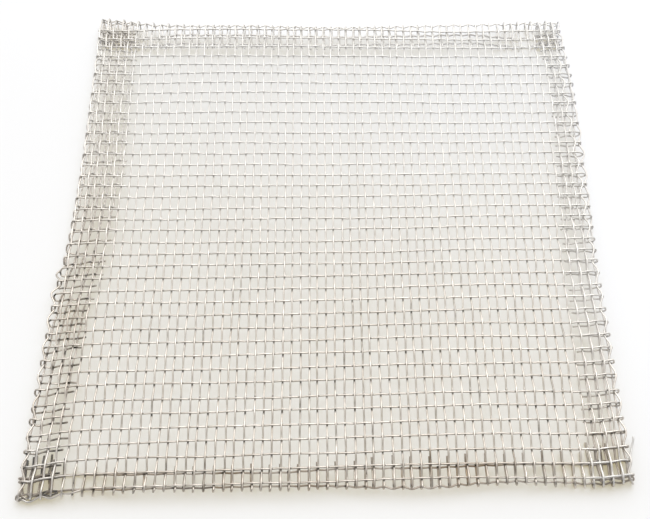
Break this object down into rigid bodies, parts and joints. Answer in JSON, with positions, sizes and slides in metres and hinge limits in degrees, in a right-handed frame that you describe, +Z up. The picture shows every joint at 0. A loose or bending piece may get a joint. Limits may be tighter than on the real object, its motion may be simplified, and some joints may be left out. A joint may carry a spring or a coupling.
{
  "type": "wire gauze",
  "caption": "Square sheet of plain woven steel wire mesh with all four edges folded under into narrow hems; lies flat over a burner stand.",
  "frame": {"origin": "under the middle of the sheet, on the surface it lies on", "axes": "X along the weft wires (left to right), Y along the warp wires (front to back), Z up through the thickness"},
  "size_m": [0.15, 0.152, 0.0046],
  "materials": {
    "wire": "bare drawn steel wire, warm grey with bright highlights",
    "hem_wire": "bare drawn steel wire, dulled and slightly browned by heat"
  },
  "bodies": {
    "root": {"weft_01": "wire", "weft_02": "wire", "weft_03": "wire", "weft_04": "wire", "weft_05": "wire", "weft_06": "wire", "weft_07": "wire", "weft_08": "wire", "weft_09": "wire", "weft_10": "wire", "weft_11": "wire", "weft_12": "wire", "weft_13": "wire", "weft_14": "wire", "weft_15": "wire", "weft_16": "wire", "weft_17": "wire", "weft_18": "wire", "weft_19": "wire", "weft_20": "wire", "warp_01": "wire", "warp_02": "wire", "warp_03": "wire", "warp_04": "wire", "warp_05": "wire", "warp_06": "wire", "warp_07": "wire", "warp_08": "wire", "warp_09": "wire", "warp_10": "wire", "warp_11": "wire", "warp_12": "wire", "warp_13": "wire", "warp_14": "wire", "warp_15": "wire", "warp_16": "wire", "warp_17": "wire", "warp_18": "wire", "warp_19": "wire", "warp_20": "wire", "warp_21": "wire", "warp_22": "wire", "warp_23": "wire", "warp_24": "wire", "warp_25": "wire", "warp_26": "wire", "warp_27": "wire", "warp_28": "wire", "warp_29": "wire", "warp_30": "wire", "warp_31": "wire", "warp_32": "wire", "edge_warp_left": "hem_wire", "edge_warp_right": "hem_wire", "edge_weft_back": "hem_wire", "hem_warps_left": "hem_wire", "hem_warps_right": "hem_wire", "hem_wefts_front": "hem_wire", "hem_wefts_back": "hem_wire"}
  },
  "joints": []
}
